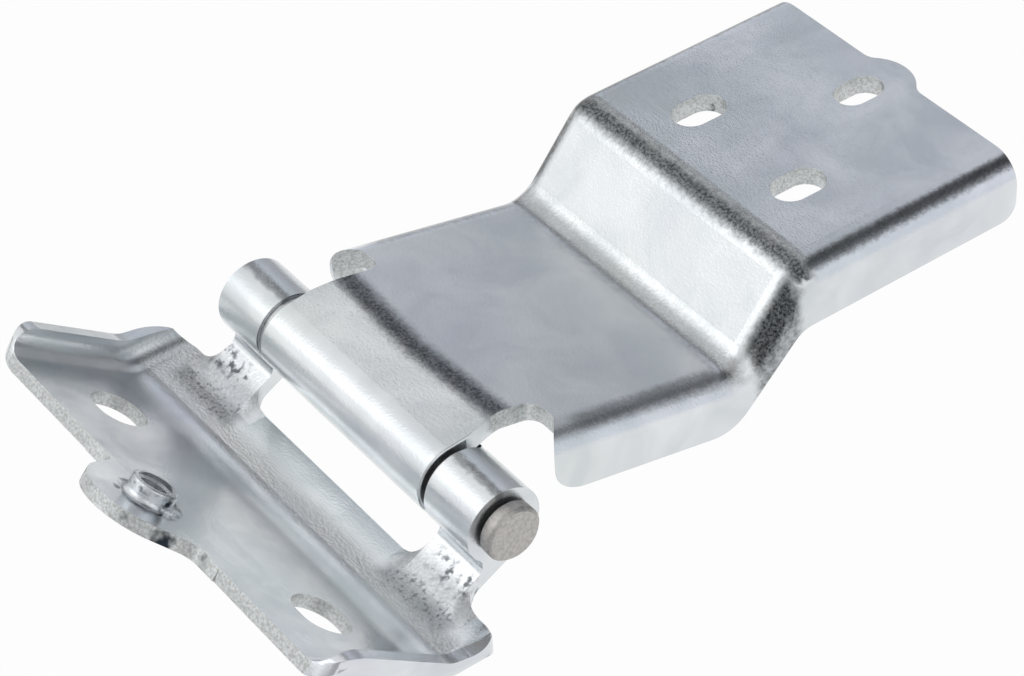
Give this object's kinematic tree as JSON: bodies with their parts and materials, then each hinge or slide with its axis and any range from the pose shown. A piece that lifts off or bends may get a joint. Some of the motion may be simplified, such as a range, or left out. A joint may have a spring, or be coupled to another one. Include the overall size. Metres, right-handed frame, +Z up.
{
  "type": "van door hinge",
  "caption": "Pressed steel van door hinge: a joggled, flanged door leaf with a rolled barrel swings on a headed pin between the rolled knuckles of a sloped body leaf.",
  "frame": {"origin": "on the hinge line, at the middle of the door leaf's barrel", "axes": "+X along the hinge line towards the pin's head, +Y from the hinge line towards the door leaf's mounting plate, +Z up, out of that plate's mating face"},
  "size_m": [0.1219, 0.2037, 0.0342],
  "materials": {
    "zinc_plate": "bright zinc plating on pressed steel, soft and slightly cloudy",
    "pin_steel": "turned steel, matte, lightly oiled",
    "bush_steel": "thin drawn bush, satin"
  },
  "bodies": {
    "body_side": {"body_leaf": "zinc_plate", "near_bush": "bush_steel", "far_bush": "bush_steel"},
    "door_side": {"door_leaf": "zinc_plate", "hinge_pin": "pin_steel"}
  },
  "joints": [
    {"name": "leaf_swing", "type": "hinge", "parent": "body_side", "child": "door_side", "pos_m": [0, 0, 0], "axis": [1, 0, 0], "range_deg": [-80, 100]}
  ]
}
